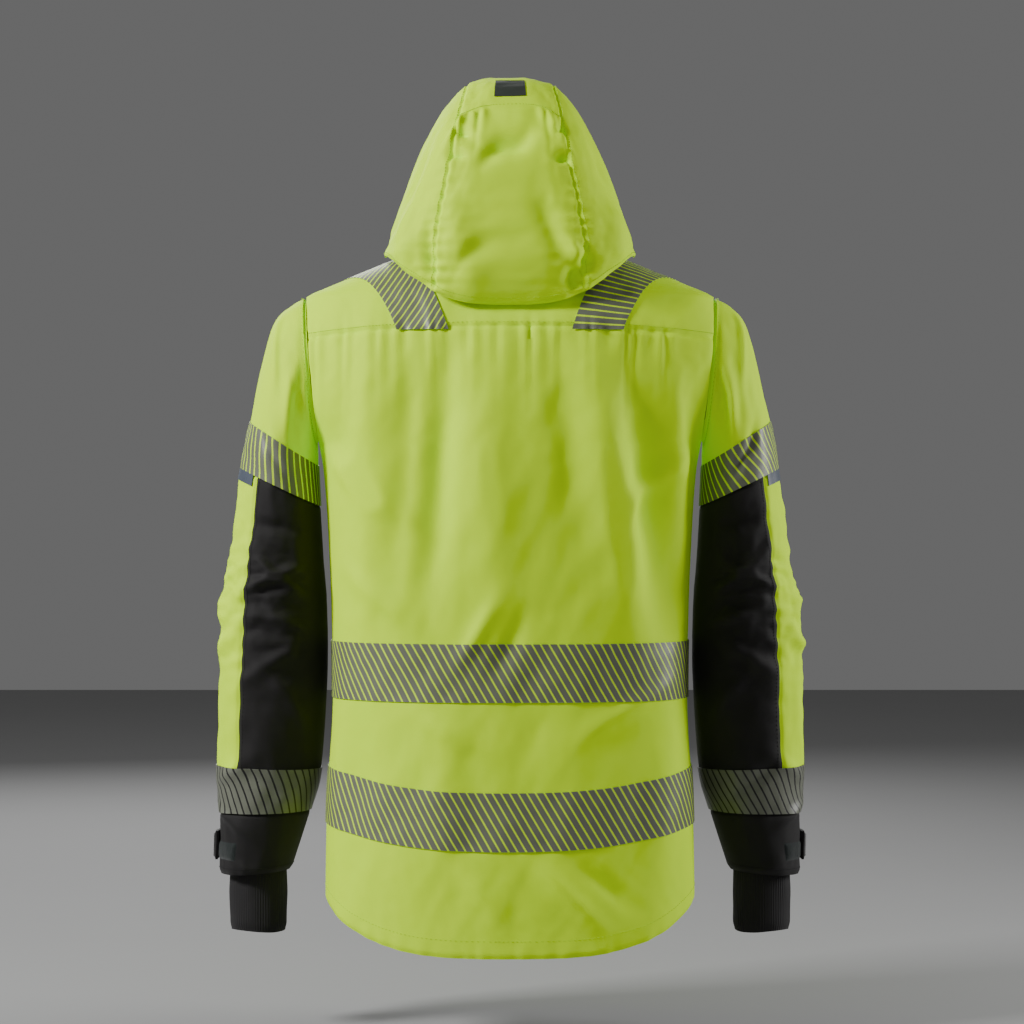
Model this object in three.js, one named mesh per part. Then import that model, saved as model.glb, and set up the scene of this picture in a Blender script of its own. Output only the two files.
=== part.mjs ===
// A hooded high-visibility work jacket, hanging as it does on a wearer with its zip closed.
// Units are millimetres and +Z is up. Heights are counted from the lowest point of the tail, and the
// finished group is lowered so that the origin is the middle of the neck seam.
// The wearer faces -Y, and the wearer's left is +X.
import * as THREE from 'three';

// Overall sizes
const NECK_HEIGHT = 850;        // from the lowest point of the tail up to the neck seam
const CHEST_HALF_WIDTH = 232;   // half the body's width below the arms
const TAIL_DROP = 56;           // how far the tail hangs below the side of the hem
const HOOD_RISE = 225;          // from the hood's lower side edge to its crown
const HOOD_HALF_WIDTH = 161;
const HOOD_TAPER = 0.44;        // how much narrower the hood is at its crown, as a share

// Cloth
const GAP = 0.35;               // clearance between pieces that touch
const SHELL = 4;                // outer cloth with its wadding
const LINING = 1.5;
const TAPE = 1.2;               // reflective tape with its backing
const PROUD = 1.8;              // how far a tape or patch lies off the flat facets of the cloth below
const LINING_DROP = 4;          // room between the outer cloth and the lining
const BAND_HEIGHT = 72;

// Armholes: an ellipse on a nearly upright plane
const ARMHOLE_LOW = 628;
const ARMHOLE_HIGH = 815;
const ARMHOLE_HALF_DEPTH = 84;
const SHOULDER_X = CHEST_HALF_WIDTH + 27;
const UNDERARM_X = CHEST_HALF_WIDTH + 11;

// Front zip
const ZIP_HALF_WIDTH = 9;       // half the strip that the two zip tapes fill
const FRONT_SLOPE = 0.0565;     // how much the straight front leans back for each unit of height
const FRONT_DEPTH = 163;        // depth of the front at the lowest height

// Sleeve ends and joints
const ELBOW_NOTCH = THREE.MathUtils.degToRad(36);
const STORM_LOW = 8;            // heights of the knitted storm cuff, which shows below the outer cuff
const STORM_HIGH = 104;
const ROUNDNESS = 2.4;          // exponent of the body's oval: 2 is an ellipse
const HOOD_ROUNDNESS = 3.6;

const YELLOW = { color: 0xc8ee2c, roughness: 0.8, metalness: 0 };
const BLACK = { color: 0x1d1b1b, roughness: 0.85, metalness: 0 };
const REFLECTIVE = { color: 0x6c6f60, roughness: 0.45, metalness: 0 };
const SLATE = { color: 0x474d57, roughness: 0.6, metalness: 0 };
const DARK_LINING = { color: 0x2b2d30, roughness: 0.7, metalness: 0 };
const NYLON = { color: 0x141414, roughness: 0.5, metalness: 0 };

const jacket = new THREE.Group();
const { lerp, degToRad } = THREE.MathUtils;
const HALF_TURN = Math.PI;
const SIDES = [[1, 'left'], [-1, 'right']];
const FRONT = -HALF_TURN / 2;

function add(name, geometry, finish) {
  geometry.computeVertexNormals();
  const mesh = new THREE.Mesh(geometry, new THREE.MeshStandardMaterial(finish));
  mesh.name = name;
  jacket.add(mesh);
  return mesh;
}

// Reads a value between [height, value] pairs.
function along(pairs, height) {
  const last = pairs.length - 1;
  if (height <= pairs[0][0]) return pairs[0][1];
  if (height >= pairs[last][0]) return pairs[last][1];
  const i = pairs.findIndex((pair) => pair[0] > height) - 1;
  const [low, high] = [pairs[i], pairs[i + 1]];
  return lerp(low[1], high[1], (height - low[0]) / (high[0] - low[0]));
}

// A power that keeps the sign, for ovals.
function signedPower(value, exponent) {
  return Math.sign(value) * Math.abs(value) ** exponent;
}

// A closed piece of cloth. point(s, t, offset) gives the surface at a distance out from it, and s and
// t run from 0 to 1. A ring closes on itself along s.
function cloth(point, { across, up, outside, inside, ring = false }) {
  const positions = [];
  const indices = [];
  const columns = ring ? across : across + 1;
  const rows = up + 1;
  for (const offset of [outside, inside]) {
    for (let row = 0; row < rows; row += 1) {
      for (let column = 0; column < columns; column += 1) {
        positions.push(...point(column / across, row / up, offset).toArray());
      }
    }
  }
  const layer = columns * rows;
  const at = (column, row, inner) => inner * layer + row * columns + (column % columns);
  const quad = (a, b, c, d) => indices.push(a, b, c, a, c, d);
  for (let row = 0; row < up; row += 1) {
    for (let column = 0; column < across; column += 1) {
      quad(at(column, row, 0), at(column + 1, row, 0), at(column + 1, row + 1, 0), at(column, row + 1, 0));
      quad(at(column, row, 1), at(column, row + 1, 1), at(column + 1, row + 1, 1), at(column + 1, row, 1));
    }
  }
  for (let column = 0; column < across; column += 1) {
    quad(at(column, 0, 1), at(column + 1, 0, 1), at(column + 1, 0, 0), at(column, 0, 0));
    quad(at(column, up, 0), at(column + 1, up, 0), at(column + 1, up, 1), at(column, up, 1));
  }
  if (!ring) {
    for (let row = 0; row < up; row += 1) {
      quad(at(0, row, 1), at(0, row, 0), at(0, row + 1, 0), at(0, row + 1, 1));
      quad(at(across, row, 0), at(across, row, 1), at(across, row + 1, 1), at(across, row + 1, 0));
    }
  }
  const geometry = new THREE.BufferGeometry();
  geometry.setAttribute('position', new THREE.Float32BufferAttribute(positions, 3));
  geometry.setIndex(volume(positions, indices) < 0 ? indices.reverse() : indices);
  return geometry;
}

// Six times the signed volume, which is negative where the faces point in.
function volume(positions, indices) {
  const corner = (i) => new THREE.Vector3().fromArray(positions, 3 * indices[i]);
  let total = 0;
  for (let i = 0; i < indices.length; i += 3) {
    total += corner(i).dot(corner(i + 1).cross(corner(i + 2)));
  }
  return total;
}

// ---- Body surface: an oval at each height ----

const CHEST = CHEST_HALF_WIDTH;
const WAIST_PAIRS = [
  [0, CHEST + 3], [180, CHEST], [300, CHEST - 7], [430, CHEST - 5], [540, CHEST], [600, CHEST + 5],
  [ARMHOLE_LOW, UNDERARM_X - 1],
];
const SHOULDER_PAIRS = [[ARMHOLE_HIGH, SHOULDER_X - 1], [885, 84], [960, 80]];
const BACK_PAIRS = [
  [0, 150], [300, 142], [450, 148], [600, 156], [700, 150], [770, 138], [800, 124], [885, 80], [960, 76],
];

function frontDepth(height) {
  return FRONT_DEPTH - FRONT_SLOPE * height;
}

function armholeShare(height) {
  const middle = (ARMHOLE_LOW + ARMHOLE_HIGH) / 2;
  const reach = (ARMHOLE_HIGH - ARMHOLE_LOW) / 2;
  return Math.sqrt(Math.max(0, 1 - ((height - middle) / reach) ** 2));
}

function depthAt(height, isBack) {
  return isBack ? along(BACK_PAIRS, height) : frontDepth(height);
}

function widthAt(height, isBack) {
  if (height <= ARMHOLE_LOW) return along(WAIST_PAIRS, height);
  if (height >= ARMHOLE_HIGH) return along(SHOULDER_PAIRS, height);
  const seam = lerp(UNDERARM_X, SHOULDER_X, (height - ARMHOLE_LOW) / (ARMHOLE_HIGH - ARMHOLE_LOW)) - 1;
  const share = (armholeShare(height) * ARMHOLE_HALF_DEPTH) / depthAt(height, isBack);
  return seam / (1 - share ** ROUNDNESS) ** (1 / ROUNDNESS);
}

function bodyPoint(angle, height, offset) {
  const isBack = Math.sin(angle) > 0;
  return new THREE.Vector3(
    (widthAt(height, isBack) + offset) * signedPower(Math.cos(angle), 2 / ROUNDNESS),
    (depthAt(height, isBack) + offset) * signedPower(Math.sin(angle), 2 / ROUNDNESS),
    height,
  );
}

// The angle at which a panel ends: the side seam, the edge of the armhole, or the shoulder seam.
function sideAngle(height, isBack) {
  if (height <= ARMHOLE_LOW || height >= ARMHOLE_HIGH) return degToRad(0.12);
  const share = (armholeShare(height) * ARMHOLE_HALF_DEPTH) / depthAt(height, isBack);
  return Math.asin(share ** (ROUNDNESS / 2)) + degToRad(0.12);
}

// The angle at which the front panels stop short of the zip.
function zipAngle(height, halfWidth) {
  return Math.acos((halfWidth / widthAt(height, false)) ** (ROUNDNESS / 2));
}

function hemHeight(angle) {
  return Math.sin(angle) > 0 ? TAIL_DROP * Math.abs(Math.cos(angle)) ** 3 : TAIL_DROP;
}

function neckHeight(angle) {
  const sideways = Math.abs(Math.cos(angle));
  return Math.sin(angle) > 0 ? 868 + 14 * sideways : 805 + 77 * sideways ** 0.8;
}

const YOKE_SEAM = 770;
const FRONT_YOKE_SEAM = 735;
function yokeHeight(angle) {
  return YOKE_SEAM - 16 * Math.cos(angle) ** 2;
}

// The same surface on the wearer's left (1) or right (-1).
function sided(point, side) {
  return (s, t, offset) => point(s, t, offset).multiply(new THREE.Vector3(side, 1, 1));
}

// A panel between two sides, whose low and high edges are heights that depend on the angle.
function bodyPanel(startAngle, endAngle, low, high) {
  return (s, t, offset) => {
    const middle = lerp(startAngle(400), endAngle(400), s);
    let height = lerp(low(middle), high(middle), t);
    const angle = lerp(startAngle(height), endAngle(height), s);
    height = lerp(low(angle), high(angle), t);
    return bodyPoint(lerp(startAngle(height), endAngle(height), s), height, offset);
  };
}

const backRight = (height) => HALF_TURN - sideAngle(height, true);
const backLeft = (height) => sideAngle(height, true);
const frontSide = (height) => -sideAngle(height, false);
const frontEdge = (height) => -zipAngle(height, ZIP_HALF_WIDTH + GAP);

function makeBody() {
  const back = bodyPanel(backLeft, backRight, hemHeight, (angle) => yokeHeight(angle) - GAP);
  add('back_panel', cloth(back, { across: 20, up: 12, outside: 0, inside: -SHELL }), YELLOW);
  const yoke = bodyPanel(backLeft, backRight, yokeHeight, (angle) => neckHeight(angle) - GAP);
  add('back_yoke', cloth(yoke, { across: 20, up: 6, outside: 0, inside: -SHELL }), YELLOW);
  const chestSeam = () => FRONT_YOKE_SEAM;
  const chestEdge = () => FRONT_YOKE_SEAM - GAP;
  const front = bodyPanel(frontSide, frontEdge, hemHeight, chestEdge);
  const frontYoke = bodyPanel(frontSide, frontEdge, chestSeam, (angle) => neckHeight(angle) - GAP);
  for (const [side, name] of SIDES) {
    add(`front_panel_${name}`, cloth(sided(front, side), { across: 9, up: 11, outside: 0, inside: -SHELL }), YELLOW);
    add(`front_yoke_${name}`, cloth(sided(frontYoke, side), { across: 9, up: 6, outside: 0, inside: -SHELL }), YELLOW);
  }

  const liningOut = -SHELL - LINING_DROP;
  const ringAngle = (s) => FRONT + s * 2 * HALF_TURN;
  const lining = (s, t, offset) => bodyPoint(ringAngle(s), lerp(TAIL_DROP + 14, ARMHOLE_LOW - 20, t), offset);
  const liningLayers = { across: 24, up: 6, outside: liningOut, inside: liningOut - LINING, ring: true };
  add('body_lining', cloth(lining, liningLayers), DARK_LINING);
}

// A strip round the body that is open at the zip.
function openRing(low, high) {
  return (s, t, offset) => {
    const height = lerp(low(0), high(0), t);
    const edge = zipAngle(height, ZIP_HALF_WIDTH + GAP);
    const angle = lerp(-edge, edge + HALF_TURN, s);
    return bodyPoint(angle, lerp(low(angle), high(angle), t), offset);
  };
}

const bandLift = (angle) => 24 * Math.cos(angle) ** 2;
function makeBands() {
  const layers = { across: 36, up: 1, outside: PROUD + TAPE, inside: PROUD };
  const waistLow = () => 310;
  const waistHigh = () => 310 + BAND_HEIGHT;
  const hemLow = (angle) => 130 + bandLift(angle);
  const hemHigh = (angle) => hemLow(angle) + BAND_HEIGHT;
  add('waist_band', cloth(openRing(waistLow, waistHigh), layers), REFLECTIVE);
  add('hem_band', cloth(openRing(hemLow, hemHigh), layers), REFLECTIVE);
}

const COLLAR_RISE = 84;
function makeCollar() {
  const low = (angle) => neckHeight(angle) + GAP;
  const top = (angle) => neckHeight(angle) + COLLAR_RISE;
  add('collar', cloth(openRing(low, top), { across: 28, up: 3, outside: -1, inside: -SHELL - 1 }), YELLOW);
}

// Tapes that run from the yoke seam over the shoulder to the chest.
const TAPE_WIDTH = 62;
const TAPE_LIFT = 3;            // extra room over the ridge of the shoulder
function makeShoulderTape(side, name) {
  const tape = (s, t, offset) => {
    const isBack = t < 0.5;
    const share = Math.abs(t - 0.5) * 2;
    const lowEdge = isBack ? 106 : 120;
    const width = lerp(178 - TAPE_WIDTH / 2, lowEdge - TAPE_WIDTH / 2, share) + s * TAPE_WIDTH;
    const low = isBack ? YOKE_SEAM - 4 : FRONT_YOKE_SEAM;
    const ridge = along(SHOULDER_PAIRS.map(([height, x]) => [-x, height]), -width);
    const height = lerp(ridge - 0.4, low, share ** 2);
    const across = Math.min(1, width / widthAt(height, isBack));
    const angle = Math.acos(across ** (ROUNDNESS / 2)) * (isBack ? 1 : -1);
    return bodyPoint(angle, height, offset + TAPE_LIFT);
  };
  const layers = { across: 3, up: 14, outside: PROUD + TAPE, inside: PROUD };
  add(`shoulder_tape_${name}`, cloth(sided(tape, side), layers), REFLECTIVE);
}

// ---- Front zip: two tapes, a slider and its pull, on one straight line ----

const ZIP_LOW = TAIL_DROP + 6;
const ZIP_HIGH = 805 + COLLAR_RISE - 6;
const SLIDER_HEIGHT = 14;
const zipLean = Math.atan(FRONT_SLOPE);

function onZip(mesh, height, proud) {
  mesh.rotation.x = -zipLean;
  mesh.position.set(0, -frontDepth(height) - proud, height);
  return mesh;
}

function makeZip() {
  const length = (ZIP_HIGH - ZIP_LOW) / Math.cos(zipLean);
  const toothWidth = 3;
  for (const [side, name] of [[1, 'zip_tape_left'], [-1, 'zip_tape_right']]) {
    const outline = new THREE.Shape([
      new THREE.Vector2(0.2, -1.8), new THREE.Vector2(toothWidth, -1.8), new THREE.Vector2(toothWidth, -0.2),
      new THREE.Vector2(ZIP_HALF_WIDTH, -0.2), new THREE.Vector2(ZIP_HALF_WIDTH, 1), new THREE.Vector2(0.2, 1),
    ]);
    const strip = new THREE.ExtrudeGeometry(outline, { depth: length, bevelEnabled: false });
    strip.deleteAttribute('normal');
    strip.deleteAttribute('uv');
    strip.translate(0, 0, -length / 2);
    if (side < 0) strip.rotateZ(HALF_TURN).scale(1, -1, 1);
    if (side < 0) turnInsideOut(strip);
    onZip(add(name, strip, NYLON), (ZIP_LOW + ZIP_HIGH) / 2, 0);
  }
  const slider = new THREE.BoxGeometry(9, 3.4, SLIDER_HEIGHT);
  const proud = 1.8 + GAP + 1.7;
  onZip(add('zip_slider', slider, NYLON), ZIP_HIGH - SLIDER_HEIGHT, proud);
  const pull = new THREE.BoxGeometry(8, 2, 42);
  onZip(add('zip_pull', pull, NYLON), ZIP_HIGH - SLIDER_HEIGHT - 19, proud + 1.7 + GAP + 1.2);
}

// Reverses the winding of a geometry, after a mirror.
function turnInsideOut(geometry) {
  const positions = geometry.getAttribute('position');
  for (let i = 0; i < positions.count; i += 3) {
    const second = new THREE.Vector3().fromBufferAttribute(positions, i + 1);
    const third = new THREE.Vector3().fromBufferAttribute(positions, i + 2);
    positions.setXYZ(i + 1, third.x, third.y, third.z);
    positions.setXYZ(i + 2, second.x, second.y, second.z);
  }
}

// ---- Pocket welts and flaps, between the two bands ----

const POCKET_TOP = 300;
const POCKET_INNER = 78;
const POCKET_OUTER = 180;
function frontPatch(inner, outer, low, high) {
  return (s, t, offset) => {
    const height = lerp(low, high, t);
    const angle = -Math.acos((lerp(inner, outer, s) / widthAt(height, false)) ** (ROUNDNESS / 2));
    return bodyPoint(angle, height, offset);
  };
}

function makePocket(side, name) {
  const welt = frontPatch(POCKET_INNER + 6, POCKET_OUTER - 6, POCKET_TOP - 26, POCKET_TOP - 6);
  const flap = frontPatch(POCKET_INNER, POCKET_OUTER, POCKET_TOP - 54, POCKET_TOP);
  const weltOut = PROUD + 1.4;
  add(`pocket_welt_${name}`, cloth(sided(welt, side), { across: 6, up: 1, outside: weltOut, inside: PROUD }), BLACK);
  const layers = { across: 6, up: 2, outside: weltOut + GAP + 2, inside: weltOut + GAP };
  add(`pocket_flap_${name}`, cloth(sided(flap, side), layers), YELLOW);
}

// ---- Hang loop inside the back of the neck ----

const LOOP_WIDTH = 64;
const LOOP_HEIGHT = 22;
const LOOP_TAPE = 2.4;
const LOOP_DEPTH = 9;
function makeHangLoop() {
  const frame = new THREE.Shape();
  frame.moveTo(-LOOP_WIDTH / 2, 0).lineTo(LOOP_WIDTH / 2, 0).lineTo(LOOP_WIDTH / 2, LOOP_HEIGHT);
  frame.lineTo(-LOOP_WIDTH / 2, LOOP_HEIGHT).closePath();
  const hole = new THREE.Path();
  const [wide, low, high] = [LOOP_WIDTH / 2 - LOOP_TAPE, LOOP_TAPE, LOOP_HEIGHT - LOOP_TAPE];
  hole.moveTo(-wide, low).lineTo(-wide, high).lineTo(wide, high).lineTo(wide, low).closePath();
  frame.holes.push(hole);
  const loop = new THREE.ExtrudeGeometry(frame, { depth: LOOP_DEPTH, bevelEnabled: false });
  const mesh = add('hang_loop', loop, BLACK);
  mesh.rotation.x = HALF_TURN / 2;
  mesh.position.set(0, 66, 884);
}

// ---- Sleeves: lofted between an outer and an inner line ----

// Each section: outer edge x and height, inner edge x and height, half depth, middle y.
const SLEEVE_SECTIONS = [
  [SHOULDER_X + 1.5, ARMHOLE_HIGH, UNDERARM_X + 1.5, ARMHOLE_LOW, ARMHOLE_HALF_DEPTH, 0],
  [UNDERARM_X + 57, 775, UNDERARM_X, 614, 82, -2],
  [UNDERARM_X + 85, 656, UNDERARM_X - 0.5, 602, 79, -4],
  [UNDERARM_X + 96, 598, UNDERARM_X - 3, 551, 76, -6],
  [UNDERARM_X + 110, 500, UNDERARM_X - 7, 482, 74, -10],
  [UNDERARM_X + 122, 425, UNDERARM_X - 11, 425, 72, -14],
  [UNDERARM_X + 128, 335, UNDERARM_X - 11, 335, 69, -24],
  [UNDERARM_X + 131, 221, UNDERARM_X - 2, 217, 66, -40],
  [UNDERARM_X + 129, 161, UNDERARM_X + 12, 163, 61, -46],
  [UNDERARM_X + 129, 80, UNDERARM_X + 37, 86, 50, -54],
];
const BAND_TOP = 2;
const BAND_BOTTOM = 3;
const ELBOW = 5;
const LOW_BAND_TOP = 7;
const LOW_BAND_BOTTOM = 8;
const CUFF_HEM = 9;
const REAR_SEAM = degToRad(58);
const FRONT_SEAM = degToRad(-122);

const lines = [[0, 1], [2, 3], [4, 5]].map(([first, second]) => new THREE.CatmullRomCurve3(
  SLEEVE_SECTIONS.map((row) => new THREE.Vector3(row[first], row[second], 0)), false, 'centripetal',
));

function sleevePoint(angle, section, offset) {
  const [outer, inner, depth] = lines.map((line) => line.getPoint(section / CUFF_HEM));
  const middle = outer.clone().add(inner).multiplyScalar(0.5);
  const across = outer.clone().sub(inner).multiplyScalar(0.5);
  const reach = (across.length() + offset) * Math.cos(angle);
  across.normalize().multiplyScalar(reach);
  const y = depth.y + (depth.x + offset) * Math.sin(angle);
  return new THREE.Vector3(middle.x + across.x, y, middle.y + across.y);
}

// How far a sleeve half stops short of the elbow, as a share of a section: a notch at the front
// leaves the room that the bent arm needs.
function elbowNotch(angle) {
  const forward = Math.max(0, -Math.sin(angle)) * SLEEVE_SECTIONS[ELBOW][4];
  const perSection = 80;
  return (1.2 + forward * Math.tan(ELBOW_NOTCH)) / perSection;
}

function sleevePiece(side, startAngle, endAngle, low, high) {
  return (s, t, offset) => {
    const angle = lerp(startAngle, endAngle, s);
    const point = sleevePoint(angle, lerp(high(angle), low(angle), t), offset);
    return point.multiply(new THREE.Vector3(side, 1, 1));
  };
}

function makeSleeve(side, name) {
  const hair = 0.006;
  const at = (section) => () => section;
  const whole = [0, 2 * HALF_TURN];
  const ringOf = (low, high) => sleevePiece(side, ...whole, at(low), at(high));
  const shell = { outside: 0, inside: -SHELL };
  const tape = { outside: PROUD + TAPE, inside: PROUD };
  const seam = degToRad(0.3);
  const outerArc = [FRONT_SEAM + seam, REAR_SEAM - seam];
  const underArc = [REAR_SEAM + seam, 2 * HALF_TURN + FRONT_SEAM - seam];
  const above = (angle) => ELBOW - elbowNotch(angle);
  const below = (angle) => ELBOW + elbowNotch(angle);

  const cap = ringOf(BAND_BOTTOM - hair, 0);
  add(`upper_sleeve_${name}`, cloth(cap, { across: 18, up: 4, ring: true, ...shell }), YELLOW);
  const band = ringOf(BAND_BOTTOM - hair, BAND_TOP);
  add(`upper_band_${name}`, cloth(band, { across: 18, up: 1, ring: true, ...tape }), REFLECTIVE);
  const accent = sleevePiece(side, degToRad(-60), degToRad(52), at(BAND_BOTTOM + 0.17), at(BAND_BOTTOM + hair));
  add(`accent_strip_${name}`, cloth(accent, { across: 7, up: 1, ...tape }), SLATE);

  for (const [piece, arc, finish] of [['outer', outerArc, YELLOW], ['under', underArc, BLACK]]) {
    const upper = sleevePiece(side, ...arc, above, at(BAND_BOTTOM + hair));
    add(`${piece}_panel_upper_${name}`, cloth(upper, { across: 9, up: 3, ...shell }), finish);
    const lower = sleevePiece(side, ...arc, at(LOW_BAND_BOTTOM - hair), below);
    add(`${piece}_panel_lower_${name}`, cloth(lower, { across: 9, up: 4, ...shell }), finish);
  }
  const lowBand = ringOf(LOW_BAND_BOTTOM - hair, LOW_BAND_TOP);
  add(`lower_band_${name}`, cloth(lowBand, { across: 18, up: 1, ring: true, ...tape }), REFLECTIVE);
  const cuff = ringOf(CUFF_HEM, LOW_BAND_BOTTOM + hair);
  add(`outer_cuff_${name}`, cloth(cuff, { across: 18, up: 2, ring: true, ...shell }), BLACK);

  const storm = (s, t, offset) => new THREE.Vector3(
    side * (UNDERARM_X + 80 + (36.5 + offset) * Math.cos(s * 2 * HALF_TURN)),
    -54 + (34 + offset) * Math.sin(s * 2 * HALF_TURN),
    lerp(STORM_LOW, STORM_HIGH, t),
  );
  add(`storm_cuff_${name}`, cloth(storm, { across: 16, up: 1, ring: true, outside: 0, inside: -3 }), BLACK);

  // The tab is sewn at the front of the cuff, wraps the outer side, and closes on the loop patch.
  const tabLow = at(LOW_BAND_BOTTOM + 0.78);
  const tabHigh = at(LOW_BAND_BOTTOM + 0.34);
  const tab = sleevePiece(side, degToRad(-78), degToRad(8), tabLow, tabHigh);
  const tabInside = PROUD + TAPE + 1;
  const tabLayers = { outside: tabInside + 3, inside: tabInside };
  add(`cuff_tab_${name}`, cloth(tab, { across: 8, up: 1, ...tabLayers }), BLACK);
  const loops = sleevePiece(side, degToRad(-20), degToRad(60), tabLow, at(LOW_BAND_BOTTOM + 0.48));
  add(`cuff_loop_patch_${name}`, cloth(loops, { across: 6, up: 1, ...tape }), NYLON);
}

// ---- Hood: arches that fan round a cross line through the sides of the neck ----

const HOOD_AXIS_Y = -60;
// The hood sits on the shoulders, so a narrower hood stands higher up their slope.
const HOOD_AXIS_HEIGHT = 8 + lerp(ARMHOLE_HIGH, 885, (SHOULDER_X - 1 - HOOD_HALF_WIDTH) / (SHOULDER_X - 85));
// Each pair: the arch's lean from straight back in degrees, and a size.
const HOOD_REACH = [[-19, 206], [18, 222], [35, 241], [66, 244], [82, 227], [107, 205]];
const HOOD_WIDTH = [
  [-19, HOOD_HALF_WIDTH], [60, HOOD_HALF_WIDTH], [82, HOOD_HALF_WIDTH], [107, HOOD_HALF_WIDTH - 6],
];
const NEST_GAP = 1.5;           // room for the hood's front to slide back inside the rest
const HOOD_SPLIT = 86;
const BRIM = 107;

function hoodPoint(sweep, leanDegrees, offset) {
  const lean = degToRad(leanDegrees);
  const reach = (along(HOOD_REACH, leanDegrees) + offset) * Math.abs(Math.sin(sweep)) ** (2 / HOOD_ROUNDNESS);
  const rise = reach * Math.sin(lean);
  const taper = 1 - (HOOD_TAPER * Math.max(0, rise)) / HOOD_RISE;
  const wide = (along(HOOD_WIDTH, leanDegrees) + offset) * taper;
  return new THREE.Vector3(
    wide * signedPower(Math.cos(sweep), 2 / HOOD_ROUNDNESS),
    HOOD_AXIS_Y + reach * Math.cos(lean),
    HOOD_AXIS_HEIGHT + rise,
  );
}

function hoodLowLean(sweep) {
  return -19 + 21 * Math.abs(Math.cos(sweep)) ** 1.6;
}

// A hood piece between two sweeps and two leans.
function hoodPiece(startSweep, endSweep, low, high) {
  return (s, t, offset) => {
    const sweep = degToRad(lerp(startSweep, endSweep, s));
    return hoodPoint(sweep, lerp(low(sweep), high(sweep), t), offset);
  };
}

function makeHood() {
  const seam = 0.2;
  const centreSweep = 68;
  const sideSweep = 9;
  const split = () => HOOD_SPLIT - 0.2;
  const front = () => HOOD_SPLIT + 0.2;
  const brim = () => BRIM;
  const layers = { outside: 0, inside: -SHELL };
  const nested = { outside: -SHELL - NEST_GAP, inside: -2 * SHELL - NEST_GAP };
  const parts = [
    ['centre', centreSweep + seam, 180 - centreSweep - seam, 6],
    ['left', sideSweep, centreSweep - seam, 7],
    ['right', 180 - centreSweep + seam, 180 - sideSweep, 7],
  ];
  for (const [name, start, end, across] of parts) {
    const rear = hoodPiece(start, end, hoodLowLean, split);
    add(`hood_${name}_panel`, cloth(rear, { across, up: 8, ...layers }), YELLOW);
    const fore = hoodPiece(start, end, front, brim);
    const piece = name === 'centre' ? 'hood_brim' : `hood_front_${name}`;
    add(piece, cloth(fore, { across, up: 2, ...nested }), YELLOW);
  }
  const patch = hoodPiece(87, 93, () => 52, () => 63);
  add('hood_patch', cloth(patch, { across: 3, up: 1, outside: PROUD + TAPE, inside: PROUD }), REFLECTIVE);
}

makeBody();
makeBands();
makeCollar();
makeZip();
makeHangLoop();
for (const [side, name] of SIDES) {
  makeShoulderTape(side, name);
  makePocket(side, name);
  makeSleeve(side, name);
}
makeHood();
jacket.position.z = -NECK_HEIGHT;

export default jacket;
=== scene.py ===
"""A hooded high-visibility work jacket, hung as on a wearer with its zip closed.

Metres, +Z up, the wearer faces -Y and the wearer's left is +X. Heights inside the functions are
counted from the lowest point of the tail, and NECK_HEIGHT takes them to the frame.
"""
import math

import bmesh
import bpy
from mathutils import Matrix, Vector, noise


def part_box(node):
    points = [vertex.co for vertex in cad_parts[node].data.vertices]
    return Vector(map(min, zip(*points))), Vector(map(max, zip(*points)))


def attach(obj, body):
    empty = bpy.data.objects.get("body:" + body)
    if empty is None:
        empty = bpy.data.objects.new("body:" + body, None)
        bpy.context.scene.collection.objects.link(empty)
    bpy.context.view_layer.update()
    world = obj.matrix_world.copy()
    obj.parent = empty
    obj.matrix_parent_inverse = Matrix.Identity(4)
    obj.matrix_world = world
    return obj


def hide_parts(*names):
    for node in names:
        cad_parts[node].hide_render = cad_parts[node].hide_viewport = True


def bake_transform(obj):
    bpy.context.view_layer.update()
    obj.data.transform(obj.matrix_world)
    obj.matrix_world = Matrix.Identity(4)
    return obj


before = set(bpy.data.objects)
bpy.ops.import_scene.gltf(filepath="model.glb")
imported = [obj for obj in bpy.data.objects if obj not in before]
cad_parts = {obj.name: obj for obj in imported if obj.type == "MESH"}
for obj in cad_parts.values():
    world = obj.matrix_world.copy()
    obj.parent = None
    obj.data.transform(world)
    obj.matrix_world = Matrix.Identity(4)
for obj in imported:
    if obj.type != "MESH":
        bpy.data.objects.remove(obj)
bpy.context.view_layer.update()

MM = 0.001
HALF_TURN = math.pi
NECK_HEIGHT = 0.850
SIDES = ((1, "left"), (-1, "right"))
ROUNDNESS = 2.4
HOOD_ROUNDNESS = 3.6
CLOTH_THICKNESS = 2.2 * MM
FOLD_STRENGTH = 1.7             # how deep the listed folds are
MOST_LIFT = 0.0085              # the most that a fold may stand off the pattern's own shape

# Body and armholes
ARMHOLE_LOW, ARMHOLE_HIGH = 0.628, 0.815
ARMHOLE_HALF_DEPTH = 0.084
SHOULDER_X, UNDERARM_X = 0.259, 0.243
FRONT_SLOPE, FRONT_DEPTH = 0.0565, 0.163
TAIL_DROP = 0.056
YOKE_SEAM, FRONT_YOKE_SEAM = 0.770, 0.735
YOKE_DIP = 0.016                # how much lower the back yoke seam is at the sides
LINING_LOW, LINING_HIGH = 0.064, 0.862
COLLAR_RISE = 0.084
ZIP_HALF_WIDTH = 0.009
BAND_HEIGHT = 0.071
WAIST_BAND_LOW = 0.311
HEM_BAND_LOW, HEM_BAND_RISE = 0.130, 0.024
SHOULDER_TAPE_WIDTH = 0.062
SHOULDER_TAPE_TOP_X, SHOULDER_TAPE_BACK_X, SHOULDER_TAPE_FRONT_X = 0.149, 0.075, 0.089
SHOULDER_TAPE_BACK_END = 0.766
SHOULDER_TAPE_GAP = 0.0003      # the tape stays this far under the top line of the shoulder
WIDTHS = [(0, 0.235), (0.18, 0.232), (0.30, 0.225), (0.43, 0.227), (0.54, 0.232), (0.60, 0.237),
          (0.628, 0.242)]
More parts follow.
